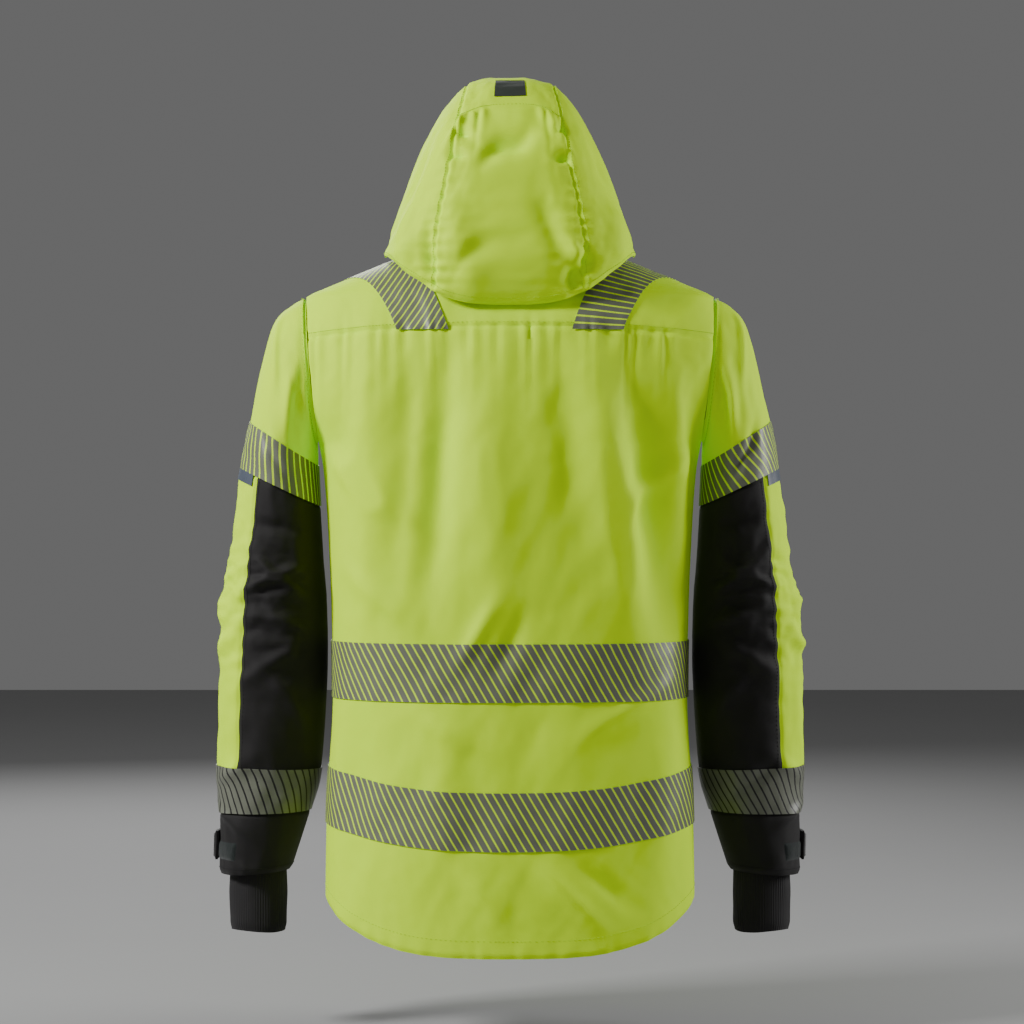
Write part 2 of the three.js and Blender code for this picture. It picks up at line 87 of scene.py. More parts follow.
SHOULDER = [(0.815, 0.258), (0.885, 0.084), (0.960, 0.080)]
DEPTHS = [(0, 0.150), (0.30, 0.142), (0.45, 0.148), (0.60, 0.156), (0.70, 0.150), (0.77, 0.138),
          (0.80, 0.124), (0.885, 0.080), (0.960, 0.076)]

# Sleeves: outer edge x and height, inner edge x and height, half depth, middle y
SLEEVE = [
    (0.2605, 0.815, 0.2445, 0.628, 0.084, 0.000),
    (0.300, 0.775, 0.243, 0.614, 0.082, -0.002),
    (0.328, 0.656, 0.2425, 0.602, 0.079, -0.004),
    (0.339, 0.598, 0.240, 0.551, 0.076, -0.006),
    (0.353, 0.500, 0.236, 0.482, 0.074, -0.010),
    (0.365, 0.425, 0.232, 0.425, 0.072, -0.014),
    (0.371, 0.335, 0.232, 0.335, 0.069, -0.024),
    (0.374, 0.221, 0.241, 0.217, 0.066, -0.040),
    (0.372, 0.161, 0.255, 0.163, 0.061, -0.046),
    (0.372, 0.080, 0.280, 0.086, 0.050, -0.054),
]
BAND_TOP, BAND_BOTTOM, LOW_BAND_TOP, LOW_BAND_BOTTOM, CUFF_HEM = 2, 3, 7, 8, 9
REAR_SEAM, FRONT_SEAM = math.radians(58), math.radians(-122)
ELBOW_HEIGHT, ELBOW_REACH = 0.425, 0.068
ELBOW_X, ELBOW_Y = 0.2985, -0.014
STORM_X, STORM_Y = 0.323, -0.054
STORM_HALF_WIDTH, STORM_HALF_DEPTH = 0.0365, 0.034
STORM_LOW, STORM_HIGH = 0.008, 0.104
ACCENT_LENGTH = 0.17            # in sections, below the upper band
TAB_TOP, LOOP_TOP, TAB_BOTTOM = 0.34, 0.48, 0.78    # in sections, below the lower band
TAB_OUT, TAB_STITCH_OUT = 7.6 * MM, 7.8 * MM
ARMHOLE_MIDDLE_X, ARMHOLE_MIDDLE_HEIGHT = 0.2525, 0.7215
GUSSET_INSET, GUSSET_START, GUSSET_END, GUSSET_DROP = 4 * MM, -0.004, 0.012, 0.016

# Hood: arches that fan round a cross line through the sides of the neck
HOOD_AXIS_Y, HOOD_AXIS_HEIGHT, HOOD_RISE = -0.060, 0.862, 0.225
HOOD_TAPER = 0.44
HOOD_REACH = [(-19, 0.206), (18, 0.222), (35, 0.241), (66, 0.244), (82, 0.227), (107, 0.205)]
HOOD_WIDTH = [(-19, 0.161), (60, 0.161), (82, 0.161), (107, 0.155)]
HOOD_LOW_LEAN, BRIM_LEAN = -19, 107
FIRST_SWEEP, CENTRE_SWEEP, LAST_SWEEP = 9, 68, 171
HOOD_MM_PER_DEGREE = 3.6
PATCH_SWEEPS, PATCH_LEANS = (87, 93), (52, 63)

# Pockets: inner and outer x, low and high edge
WELT = (0.084, 0.174, 0.274, 0.294)
FLAP = (0.078, 0.180, 0.246, 0.300)
FLAP_STITCH_OUT = 7.2 * MM

# Zip
TOOTH_PITCH = 3.4 * MM
TOOTH_SIZE = Vector((3.0 * MM, 1.4 * MM, 1.5 * MM))

# Camera and lamps: name, place, size, power
CAMERA_X, CAMERA_DISTANCE, CAMERA_HEIGHT, LENS = -0.0025, 3.60, 0.543, 100
FLOOR_GAP = 0.12
WORLD_STRENGTH = 0.42
LAMPS = [
    ("key", (2.6, 1.25, 1.3), 0.7, 135),
    ("fill", (0.9, 3.4, 0.5), 1.6, 5),
    ("rim", (-2.3, -0.1, 0.2), 0.9, 40),
    ("front_fill", (0.8, -3.0, 1.2), 2.0, 60),
]

CUTTING = {"flat": False}       # true only while a pattern piece is measured, before it has any fold


# ---- Small helpers ----

def mix(a, b, share):
    return a + (b - a) * share


def ease(value):
    value = min(1.0, max(0.0, value))
    return value * value * (3 - 2 * value)


def along(pairs, place):
    """A smooth value between (place, value) pairs."""
    if place <= pairs[0][0]:
        return pairs[0][1]
    for i in range(len(pairs) - 1):
        (low, first), (high, second) = pairs[i], pairs[i + 1]
        if place <= high:
            before = pairs[max(0, i - 1)]
            after = pairs[min(len(pairs) - 1, i + 2)]
            span = high - low
            slope_in = (second - before[1]) / (high - before[0]) * span
            slope_out = (after[1] - first) / (after[0] - low) * span
            t = (place - low) / span
            return ((2 * t ** 3 - 3 * t * t + 1) * first + (t ** 3 - 2 * t * t + t) * slope_in
                    + (3 * t * t - 2 * t ** 3) * second + (t ** 3 - t * t) * slope_out)
    return pairs[-1][1]


def power(value, exponent):
    return math.copysign(abs(value) ** exponent, value)


def placed(x, y, height):
    return Vector((x, y, height - NECK_HEIGHT))


def folds(u, v, lines):
    """Height of listed folds at (u, v). Each line: start, end, half width and height, in mm."""
    total = 0.0
    for (u0, v0), (u1, v1), width, height in lines:
        du, dv = u1 - u0, v1 - v0
        share = ((u - u0) * du + (v - v0) * dv) / (du * du + dv * dv)
        taper = ease(1 - abs(share - 0.5) * 1.25) if abs(share - 0.5) < 0.8 else 0.0
        if taper <= 0:
            continue
        away = abs((u - u0) * dv - (v - v0) * du) / math.hypot(du, dv)
        total += height * taper * math.exp(-(away / width) ** 2)
    return total * FOLD_STRENGTH * MM


def rumple(u, v, scale_u, scale_v, seed):
    return noise.noise(Vector((u / scale_u, v / scale_v, seed)))


# ---- Body surface ----

def front_depth(height):
    return FRONT_DEPTH - FRONT_SLOPE * height


def depth_at(height, is_back):
    return along(DEPTHS, height) if is_back else front_depth(height)


def armhole_share(height, is_back):
    middle, reach = (ARMHOLE_LOW + ARMHOLE_HIGH) / 2, (ARMHOLE_HIGH - ARMHOLE_LOW) / 2
    half = math.sqrt(max(0.0, 1 - ((height - middle) / reach) ** 2)) * ARMHOLE_HALF_DEPTH
    return half / depth_at(height, is_back)


def width_at(height, is_back):
    if height <= ARMHOLE_LOW:
        return along(WIDTHS, height)
    if height >= ARMHOLE_HIGH:
        low, high = SHOULDER[0], SHOULDER[1]
        if height < high[0]:
            return mix(low[1], high[1], (height - low[0]) / (high[0] - low[0]))
        return along(SHOULDER[1:], height)
    seam = mix(UNDERARM_X, SHOULDER_X, (height - ARMHOLE_LOW) / (ARMHOLE_HIGH - ARMHOLE_LOW)) - MM
    return seam / (1 - armhole_share(height, is_back) ** ROUNDNESS) ** (1 / ROUNDNESS)


BACK_FOLDS = [
    ((172, 760), (178, 400), 22, 5), ((118, 750), (140, 470), 15, -4), ((74, 755), (104, 430), 22, -9),
    ((30, 740), (10, 430), 34, 5), ((-60, 750), (-80, 520), 20, -3), ((-104, 715), (-152, 390), 24, 8),
    ((-150, 720), (-196, 410), 24, -11), ((-205, 700), (-214, 500), 12, 4), ((12, 440), (64, 352), 10, 4),
    ((-20, 420), (20, 340), 12, -3), ((-30, 118), (-112, 34), 12, 4), ((-78, 120), (-150, 60), 10, -3),
    ((60, 108), (4, 44), 14, 3), ((120, 300), (30, 250), 14, 3), ((-190, 330), (-90, 270), 12, 3),
    ((222, 610), (120, 530), 14, 5), ((-222, 610), (-130, 540), 14, 5), ((200, 470), (110, 400), 13, 3),
    ((190, 300), (200, 90), 24, -3), ((-170, 240), (-150, 60), 26, -3), ((90, 300), (70, 100), 30, 3),
]
FRONT_FOLDS = [
    ((60, 720), (80, 420), 22, 4), ((140, 720), (130, 440), 20, -4), ((200, 700), (190, 520), 14, 4),
    ((222, 610), (110, 540), 14, 5), ((210, 500), (100, 430), 13, 4), ((60, 420), (170, 360), 14, -3),
    ((120, 300), (130, 90), 26, -3), ((50, 300), (40, 90), 20, 3), ((190, 200), (180, 70), 22, 3),
]


# Unevenness of the body cloth: height in mm, size across and up in metres, slant, and a shift of the seed
BODY_RUMPLES = [(3.2, 0.055, 0.26, 0.0, 0), (1.5, 0.030, 0.07, 0.4, 5), (0.5, 0.012, 0.016, 0.0, 9)]


def body_wrinkle(angle, height):
    """How far the cloth stands off its pattern: folds, unevenness, gathers below the yoke and a wavy hem."""
    is_back = math.sin(angle) > 0
    x = power(math.cos(angle), 2 / ROUNDNESS) * width_at(height, is_back)
    side = ease((abs(math.cos(angle)) - 0.86) / 0.12)
    beside_sleeve = side * (1 - ease((height - 0.80) / 0.05))
    u, v = x / MM, height / MM
    if is_back:
        lift = folds(u, v, BACK_FOLDS)
    else:
        lift = folds(abs(u) if u > 0 else abs(u) + 9, v, FRONT_FOLDS)
        lift *= ease((abs(x) - 0.010) / 0.05)
    seed = 3.1 if is_back else 11.7
    zip_fade = 1 if is_back else ease((abs(x) - 0.012) / 0.05)
    for tall, across, up, slant, shift in BODY_RUMPLES:
        lift += tall * MM * rumple(x + height * slant, height, across, up, seed + shift) * zip_fade
    seam = yoke_height(angle) if is_back else FRONT_YOKE_SEAM
    below = seam - height
    if -0.03 < below < 0.11:
        gather = math.sin(x * 330 + 5 * rumple(x, 0, 0.03, 1, 2.0)) * (0.6 + rumple(x, 0, 0.05, 1, 8.0))
        reach = math.exp(-below / 0.04) if below >= 0 else 0.7 * math.exp(below / 0.010)
        lift += 2.4 * MM * gather * reach * zip_fade
    hem = math.exp(-max(0.0, height - hem_height(angle)) / 0.012)
    lift += 0.7 * MM * math.sin(x * 250 + 4 * rumple(x, 0, 0.04, 1, 4.0)) * hem * zip_fade
    return min(lift, MOST_LIFT) * (1 - 0.9 * beside_sleeve) - 1.2 * MM * beside_sleeve


def body_point(angle, height, out=0.0, wrinkled=True):
    is_back = math.sin(angle) > 0
    if wrinkled and not CUTTING["flat"]:
        out += body_wrinkle(angle, height)
    return placed((width_at(height, is_back) + out) * power(math.cos(angle), 2 / ROUNDNESS),
                  (depth_at(height, is_back) + out) * power(math.sin(angle), 2 / ROUNDNESS), height)


def side_angle(height, is_back):
    if height <= ARMHOLE_LOW or height >= ARMHOLE_HIGH:
        return 0.0
    return math.asin(armhole_share(height, is_back) ** (ROUNDNESS / 2))


def zip_angle(height, half_width):
    return math.acos((half_width / width_at(height, False)) ** (ROUNDNESS / 2))


def angle_at(x, height, is_back):
    angle = math.acos(min(1.0, (abs(x) / width_at(height, is_back)) ** (ROUNDNESS / 2)))
    angle = angle if is_back else -angle
    return angle if x >= 0 else HALF_TURN - angle


def hem_height(angle):
    return TAIL_DROP * abs(math.cos(angle)) ** 3 if math.sin(angle) > 0 else TAIL_DROP


def neck_height(angle):
    sideways = abs(math.cos(angle))
    return 0.868 + 0.014 * sideways if math.sin(angle) > 0 else 0.805 + 0.077 * sideways ** 0.8


def yoke_height(angle):
    return YOKE_SEAM - YOKE_DIP * math.cos(angle) ** 2


def body_panel(start_angle, end_angle, low, high):
    """A panel between two sides whose low and high edges depend on the angle."""
    def point(s, t, out=0.0):
        angle = mix(start_angle(0.4), end_angle(0.4), s)
        height = mix(low(angle), high(angle), t)
        for _ in range(3):
            angle = mix(start_angle(height), end_angle(height), s)
            height = mix(low(angle), high(angle), t)
        return body_point(mix(start_angle(height), end_angle(height), s), height, out)
    return point


def sided(point, side):
    def other(s, t, out=0.0):
        found = point(s, t, out)
        return Vector((found.x * side, found.y, found.z))
    return other


# ---- Sleeve and hood surfaces ----

def sleeve_line(section, column):
    return along([(i, row[column]) for i, row in enumerate(SLEEVE)], section)


SLEEVE_FOLDS = [
    ((30, 60), (75, 110), 9, 4), ((95, 40), (110, 150), 11, 5), ((60, 150), (120, 230), 9, -3),
    ((70, 330), (150, 400), 8, 5), ((150, 330), (60, 395), 8, 4), ((80, 420), (160, 440), 7, 4),
    ((140, 455), (60, 500), 8, 4), ((100, 490), (170, 545), 8, 4), ((60, 300), (150, 290), 7, -3),
    ((50, 440), (10, 470), 9, 3), ((-20, 400), (40, 420), 10, 3), ((-60, 360), (-10, 460), 12, 3),
    ((-120, 430), (-40, 470), 8, 4), ((-130, 480), (-50, 430), 8, -4), ((90, 560), (20, 600), 10, 3),
    ((130, 620), (60, 560), 9, -3), ((-60, 120), (-90, 260), 12, 4), ((10, 640), (90, 690), 9, 3),
    ((-100, 560), (-30, 610), 10, 3), ((60, 720), (110, 740), 7, 2), ((-30, 90), (-10, 220), 16, 3),
]


# Unevenness of a sleeve: height in mm, waves round it and down it, a shift of the seed, and elbow only
SLEEVE_RUMPLES = [(2.6, 1.6, 0.9, 0, False), (1.3, 4, 2.6, 0, False),
                  (5.0, 2.2, 5.5, 7, True), (2.0, 5, 9, 0, True)]


def sleeve_wrinkle(angle, section, side):
    turn = math.atan2(math.sin(angle), math.cos(angle))
    u = turn * 65
    v = section * 82
    lift = folds(u, v + (6 if side < 0 else 0), SLEEVE_FOLDS)
    seed = 20.0 + side
    elbow = math.exp(-((section - 5.0) / 1.3) ** 2)
    for tall, waves, down, shift, elbow_only in SLEEVE_RUMPLES:
        place = Vector((math.cos(angle) * waves, math.sin(angle) * waves, section * down + seed + shift))
        lift += tall * MM * noise.noise(place) * (elbow if elbow_only else 1)
    inner = ease((-math.cos(angle) - 0.45) / 0.4)
    start = ease(section / 0.35)
    return min(lift, MOST_LIFT) * (1 - 0.95 * inner) * mix(0.3, 1, start) - 0.6 * MM * inner


def sleeve_point(angle, section, out=0.0, side=1, wrinkled=True):
    if wrinkled and not CUTTING["flat"]:
        out += sleeve_wrinkle(angle, section, side)
    outer = Vector((sleeve_line(section, 0), sleeve_line(section, 1)))
    inner = Vector((sleeve_line(section, 2), sleeve_line(section, 3)))
    middle, across = (outer + inner) / 2, (outer - inner) / 2
    reach = across.normalized() * (across.length + out) * math.cos(angle)
    y = sleeve_line(section, 5) + (sleeve_line(section, 4) + out) * math.sin(angle)
    return placed(side * (middle.x + reach.x), y, middle.y + reach.y)


def sleeve_piece(side, start_angle, end_angle, low, high):
    def point(s, t, out=0.0):
        angle = mix(start_angle, end_angle, s)
        return sleeve_point(angle, mix(high(angle), low(angle), t), out, side)
    return point


HOOD_FOLDS = [
    ((-60, 200), (60, 170), 8, -3), ((10, 205), (-14, 165), 7, -5), ((30, 230), (60, 180), 8, 4),
    ((-45, 235), (-70, 190), 8, 4), ((-62, 215), (-30, 200), 5, -5), ((-66, 185), (-35, 175), 5, -5),
    ((62, 215), (40, 205), 5, -6), ((60, 180), (34, 172), 5, -5), ((60, 60), (35, 20), 12, -9),
    ((30, 90), (58, 30), 8, 5), ((-40, 120), (-10, 20), 14, 4), ((10, 140), (30, 60), 12, -4),
    ((-70, 100), (-60, 30), 8, -4), ((-120, 150), (-100, 40), 16, 4), ((125, 150), (105, 50), 16, 4),
    ((-105, 230), (-130, 120), 12, -3), ((112, 240), (135, 120), 12, -3), ((0, 90), (-30, 40), 9, -3),
]


# Unevenness of the hood: height in mm, size across and up in mm, and a seed
HOOD_RUMPLES = [(3.0, 60, 80, 31.0), (1.6, 22, 26, 33.0), (0.6, 9, 11, 35.0)]


def hood_wrinkle(sweep, lean):
    """Folds, unevenness, puckered long seams, and a ridge with gathers at the cross seam."""
    u = math.cos(sweep) * -150
    v = (lean - HOOD_LOW_LEAN) * HOOD_MM_PER_DEGREE
    lift = folds(u, v, HOOD_FOLDS)
    for tall, across, up, seed in HOOD_RUMPLES:
        lift += tall * MM * rumple(u, v, across, up, seed)
    seam = min(abs(sweep - math.radians(CENTRE_SWEEP)), abs(sweep - math.radians(180 - CENTRE_SWEEP)))
    pucker = math.sin(v * 0.42 + 3 * rumple(v, 0, 20, 1, 37.0))
    lift += 1.6 * MM * pucker * math.exp(-seam * 9)
    if centre_panel(sweep):
        below = (hood_cross_lean(sweep) - lean) * HOOD_MM_PER_DEGREE
        lift += 2.2 * MM * math.exp(-abs(below - 3) / 4) - 1.0 * MM * math.exp(-(below / 1.5) ** 2)
        gather = math.sin(u * 0.33 + 4 * rumple(u, 0, 24, 1, 39.0)) * (0.7 + rumple(u, 0, 30, 1, 41.0))
        lift += 2.6 * MM * gather * math.exp(-max(0.0, below) / 26) * ease(below / 5)
    return min(lift, MOST_LIFT)


def centre_panel(sweep):
    return math.radians(CENTRE_SWEEP) <= sweep <= math.radians(180 - CENTRE_SWEEP)


def hood_cross_lean(sweep):
    """The seam that crosses the centre panel below the crown, a little higher in the middle."""
    return 47 - 3.5 * (abs(math.cos(sweep)) / math.cos(math.radians(CENTRE_SWEEP))) ** 2


def hood_point(sweep, lean, out=0.0, wrinkled=True):
    if wrinkled and not CUTTING["flat"]:
        out += hood_wrinkle(sweep, lean)
    angle = math.radians(lean)
    reach = (along(HOOD_REACH, lean) + out) * abs(math.sin(sweep)) ** (2 / HOOD_ROUNDNESS)
    rise = reach * math.sin(angle)
    wide = (along(HOOD_WIDTH, lean) + out) * (1 - HOOD_TAPER * max(0.0, rise) / HOOD_RISE)
    return placed(wide * power(math.cos(sweep), 2 / HOOD_ROUNDNESS), HOOD_AXIS_Y + reach * math.cos(angle),
                  HOOD_AXIS_HEIGHT + rise)


def hood_low_lean(sweep):
    return HOOD_LOW_LEAN + 21 * abs(math.cos(sweep)) ** 1.6


def hood_piece(start_sweep, end_sweep, low, high):
    def point(s, t, out=0.0):
        sweep = math.radians(mix(start_sweep, end_sweep, s))
        return hood_point(sweep, mix(low(sweep), high(sweep), t), out)
    return point


# ---- Materials ----

YELLOW_DARK, YELLOW_LIGHT = "#C8F400", "#D2FA04"


def linear(hex_colour):
    """An sRGB hex colour as linear RGBA."""
    parts = [int(hex_colour[i:i + 2], 16) / 255 for i in (1, 3, 5)]
    return [c / 12.92 if c <= 0.04045 else ((c + 0.055) / 1.055) ** 2.4 for c in parts] + [1.0]


def node(tree, kind, settings=(), inputs=()):
    """One shader node with its settings; an input is a value or another node's socket."""
    made = tree.nodes.new(kind)
    for key, value in dict(settings).items():
        setattr(made, key, value)
    for key, value in dict(inputs).items():
        if isinstance(value, bpy.types.NodeSocket):
            tree.links.new(value, made.inputs[key])
        else:
            made.inputs[key].default_value = value
    return made


def new_material(name, roughness, sheen=0.0):
    material = bpy.data.materials.new(name)
    material.use_nodes = True
    shader = material.node_tree.nodes["Principled BSDF"]
    shader.inputs["Roughness"].default_value = roughness
    shader.inputs["Sheen Weight"].default_value = sheen
    return material, material.node_tree, shader


def maths(tree, operation, first, second):
    return node(tree, "ShaderNodeMath", {"operation": operation}, {0: first, 1: second}).outputs[0]


def weave(tree, thread, strength, distance):
    """A plain weave from the piece's own UV map, in metres, as a bump."""
    uv = node(tree, "ShaderNodeUVMap", {"uv_map": "UVMap"})
    split = node(tree, "ShaderNodeSeparateXYZ", (), {0: uv.outputs[0]})
    turns = 2 * HALF_TURN / thread
    warp = maths(tree, "SINE", maths(tree, "MULTIPLY", split.outputs[0], turns), 0.0)
    weft = maths(tree, "SINE", maths(tree, "MULTIPLY", split.outputs[1], turns), 0.0)
    height = maths(tree, "MULTIPLY", warp, weft)
    bump = node(tree, "ShaderNodeBump", (), {"Strength": strength, "Distance": distance, "Height": height})
    return bump, split


def mottled(tree, dark, light, size):
    """Two shades of one dye, in soft patches."""
    coords = node(tree, "ShaderNodeTexCoord")
    patches = node(tree, "ShaderNodeTexNoise", (), {"Vector": coords.outputs["Object"], "Scale": 1 / size,
                                                    "Detail": 6.0, "Roughness": 0.6})
    return node(tree, "ShaderNodeMix", {"data_type": "RGBA"},
                {"Factor": patches.outputs[0], 6: linear(dark), 7: linear(light)}).outputs[2]


def fluorescent_polyester():
    """Woven polyester in fluorescent yellow: matt, with a painted glow that lifts its shade in place of the
    dye's fluorescence, and a fine weave.
    """
    material, tree, shader = new_material("fluorescent_polyester", 0.68)
    shader.inputs["Specular IOR Level"].default_value = 0.15
    colour = mottled(tree, YELLOW_DARK, YELLOW_LIGHT, 0.05)
    tree.links.new(colour, shader.inputs["Base Color"])
    # threads are 0.5 mm apart; drawn at 1.6 mm so that they show
    bump, _ = weave(tree, 1.6 * MM, 0.25, 0.25 * MM)
    tree.links.new(bump.outputs[0], shader.inputs["Normal"])
    # painted glow: the cloth gives off light of its own, which lifts its shade; it stands in for the dye
    # turning ultraviolet into visible light
    shader.inputs["Emission Color"].default_value = linear("#B4F000")
    shader.inputs["Emission Strength"].default_value = 0.10
    return material


def black_polyester():
    """Tougher black polyester: matt, with a dusty sheen at the edges of folds."""
    material, tree, shader = new_material("black_polyester", 0.74, sheen=0.05)
    shader.inputs["Specular IOR Level"].default_value = 0.35
    colour = mottled(tree, "#0E0C0C", "#161313", 0.03)
    tree.links.new(colour, shader.inputs["Base Color"])
    bump, _ = weave(tree, 1.6 * MM, 0.45, 0.3 * MM)
    tree.links.new(bump.outputs[0], shader.inputs["Normal"])
    return material


def segmented_tape(name, ground, slant, pitch=10.5 * MM, share=0.76, runs_up=False):
    """Reflective film in slanted bars on cloth: grey, faintly satin, with the cloth between the bars."""
    material, tree, shader = new_material(name, 0.42)
    bump, split = weave(tree, 1.6 * MM, 0.15, 0.2 * MM)
    length, width = (1, 0) if runs_up else (0, 1)
    tilt = maths(tree, "MULTIPLY", split.outputs[width], slant)
    shifted = maths(tree, "ADD", split.outputs[length], tilt)
    phase = maths(tree, "FRACT", maths(tree, "DIVIDE", shifted, pitch), 0.0)
    film = maths(tree, "LESS_THAN", phase, share)
    grey = mottled(tree, "#5F6254", "#74776A", 0.02)
    colour = node(tree, "ShaderNodeMix", {"data_type": "RGBA"},
                  {"Factor": film, 6: linear(ground), 7: grey})
    tree.links.new(colour.outputs[2], shader.inputs["Base Color"])
    edge = node(tree, "ShaderNodeBump", (), {"Strength": 0.5, "Distance": 0.2 * MM, "Height": film,
                                             "Normal": bump.outputs[0]})
    tree.links.new(edge.outputs[0], shader.inputs["Normal"])
    return material


def plain_film():
    """Plain heat-pressed film: dark grey and slightly smooth."""
    material, tree, shader = new_material("plain_film", 0.5)
    tree.links.new(mottled(tree, "#2E352F", "#3A4038", 0.01), shader.inputs["Base Color"])
    return material


def coated_ribbon():
    """Slate ribbon with a rubbery coat: even and slightly smooth."""
    material, tree, shader = new_material("coated_ribbon", 0.5)
    tree.links.new(mottled(tree, "#434A55", "#4E5663", 0.02), shader.inputs["Base Color"])
    return material


def rib_knit():
    """Ribbed knit: soft black ribs that run along the wrist."""
    material, tree, shader = new_material("rib_knit", 0.85, sheen=0.05)
    tree.links.new(mottled(tree, "#0E0C0D", "#151213", 0.01), shader.inputs["Base Color"])
    uv = node(tree, "ShaderNodeUVMap", {"uv_map": "UVMap"})
    split = node(tree, "ShaderNodeSeparateXYZ", (), {0: uv.outputs[0]})
    rib = maths(tree, "SINE", maths(tree, "MULTIPLY", split.outputs[0], 2 * HALF_TURN / (3.2 * MM)), 0.0)
    bump = node(tree, "ShaderNodeBump", (), {"Strength": 0.35, "Distance": 0.4 * MM, "Height": rib})
    tree.links.new(bump.outputs[0], shader.inputs["Normal"])
    return material


def quilted_taffeta():
    """Smooth dark lining: a low shine, quilted in diamonds."""
    material, tree, shader = new_material("quilted_taffeta", 0.45, sheen=0.1)
    tree.links.new(mottled(tree, "#24262A", "#2E3136", 0.04), shader.inputs["Base Color"])
    uv = node(tree, "ShaderNodeUVMap", {"uv_map": "UVMap"})
    split = node(tree, "ShaderNodeSeparateXYZ", (), {0: uv.outputs[0]})
    turns = HALF_TURN / (60 * MM)
    rise = maths(tree, "ADD", split.outputs[0], split.outputs[1])
    fall = maths(tree, "SUBTRACT", split.outputs[0], split.outputs[1])
    first = maths(tree, "ABSOLUTE", maths(tree, "SINE", maths(tree, "MULTIPLY", rise, turns), 0.0), 0.0)
    second = maths(tree, "ABSOLUTE", maths(tree, "SINE", maths(tree, "MULTIPLY", fall, turns), 0.0), 0.0)
    pillow = maths(tree, "POWER", maths(tree, "MULTIPLY", first, second), 0.35)
    bump = node(tree, "ShaderNodeBump", (), {"Strength": 0.8, "Distance": 4 * MM, "Height": pillow})
    tree.links.new(bump.outputs[0], shader.inputs["Normal"])
    return material


def moulded_nylon():
    """Injection-moulded black nylon: fine grain and a soft highlight."""
    material, tree, shader = new_material("moulded_nylon", 0.38)
    coords = node(tree, "ShaderNodeTexCoord")
    grain = node(tree, "ShaderNodeTexNoise", (), {"Vector": coords.outputs["Object"], "Scale": 900.0})
    tree.links.new(mottled(tree, "#101010", "#181818", 0.01), shader.inputs["Base Color"])
    bump = node(tree, "ShaderNodeBump", (), {"Strength": 0.2, "Distance": 0.1 * MM,
                                             "Height": grain.outputs[0]})
    tree.links.new(bump.outputs[0], shader.inputs["Normal"])
    return material


def brushed_loop_tape():
    """Loop side of hook-and-loop tape: dull, fuzzy, nearly black green."""
    material, tree, shader = new_material("brushed_loop_tape", 0.95, sheen=0.12)
    coords = node(tree, "ShaderNodeTexCoord")
    fuzz = node(tree, "ShaderNodeTexNoise", (), {"Vector": coords.outputs["Object"], "Scale": 600.0,
                                                 "Detail": 4.0})
    tree.links.new(mottled(tree, "#0B1211", "#17211F", 0.004), shader.inputs["Base Color"])
    bump = node(tree, "ShaderNodeBump", (), {"Strength": 1.0, "Distance": 1.2 * MM,
                                             "Height": fuzz.outputs[0]})
    tree.links.new(bump.outputs[0], shader.inputs["Normal"])
    return material


def thread(name, dark, light):
    """Polyester sewing thread: a tight twist with a dull shine."""
    material, tree, shader = new_material(name, 0.55)
    tree.links.new(mottled(tree, dark, light, 0.01), shader.inputs["Base Color"])
    return material


def black_webbing():
    """Narrow woven webbing: dull black with a cross rib."""
    material, tree, shader = new_material("black_webbing", 0.7)
    tree.links.new(mottled(tree, "#141212", "#201D1C", 0.006), shader.inputs["Base Color"])
    coords = node(tree, "ShaderNodeTexCoord")
    ribs = node(tree, "ShaderNodeTexWave", (), {"Vector": coords.outputs["Object"], "Scale": 160.0})
    bump = node(tree, "ShaderNodeBump", (), {"Strength": 0.5, "Distance": 0.3 * MM,
                                             "Height": ribs.outputs[1]})
    tree.links.new(bump.outputs[0], shader.inputs["Normal"])
    return material


YELLOW = fluorescent_polyester()
BLACK = black_polyester()
TAPE_BODY = segmented_tape("tape_on_yellow", YELLOW_LIGHT, 0.58)
SHOULDER_SLANTS = {"left": 1.0, "right": 0.03}
TAPES_SHOULDER = {side: segmented_tape(f"tape_on_{side}_shoulder", YELLOW_LIGHT, slant, 9.5 * MM,
                                       runs_up=True)
                  for side, slant in SHOULDER_SLANTS.items()}
PATCH_FILM = plain_film()
TAPES_DARK = {"left": segmented_tape("tape_on_left_cuff", "#100E0E", -0.45),
              "right": segmented_tape("tape_on_right_cuff", "#100E0E", 0.45)}
TAPES_ARM = {"left": segmented_tape("tape_on_left_arm", YELLOW_LIGHT, -0.12),
             "right": segmented_tape("tape_on_right_arm", YELLOW_LIGHT, 0.58)}
RIBBON = coated_ribbon()
KNIT = rib_knit()
LINING = quilted_taffeta()
NYLON = moulded_nylon()
LOOPS = brushed_loop_tape()
BLACK_WEBBING = black_webbing()
YELLOW_THREAD = thread("yellow_thread", "#A2C800", "#B4DC10")
BLACK_THREAD = thread("black_thread", "#0C0B0B", "#171515")


# ---- Cloth pieces ----

def edge_roll(s, t, wide, tall, ring):
    """How far the cloth turns in beside its seams."""
    near = min(t * tall, (1 - t) * tall)
    if not ring:
        near = min(near, s * wide, (1 - s) * wide)
    return -2.0 * MM * math.exp(-(near / 0.0035) ** 2)


def spread(count, tight=0.5):
    """Even steps that crowd a little towards both ends, for crisp seams."""
    return [mix(i / count, 0.5 - 0.5 * math.cos(HALF_TURN * i / count), tight) for i in range(count + 1)]


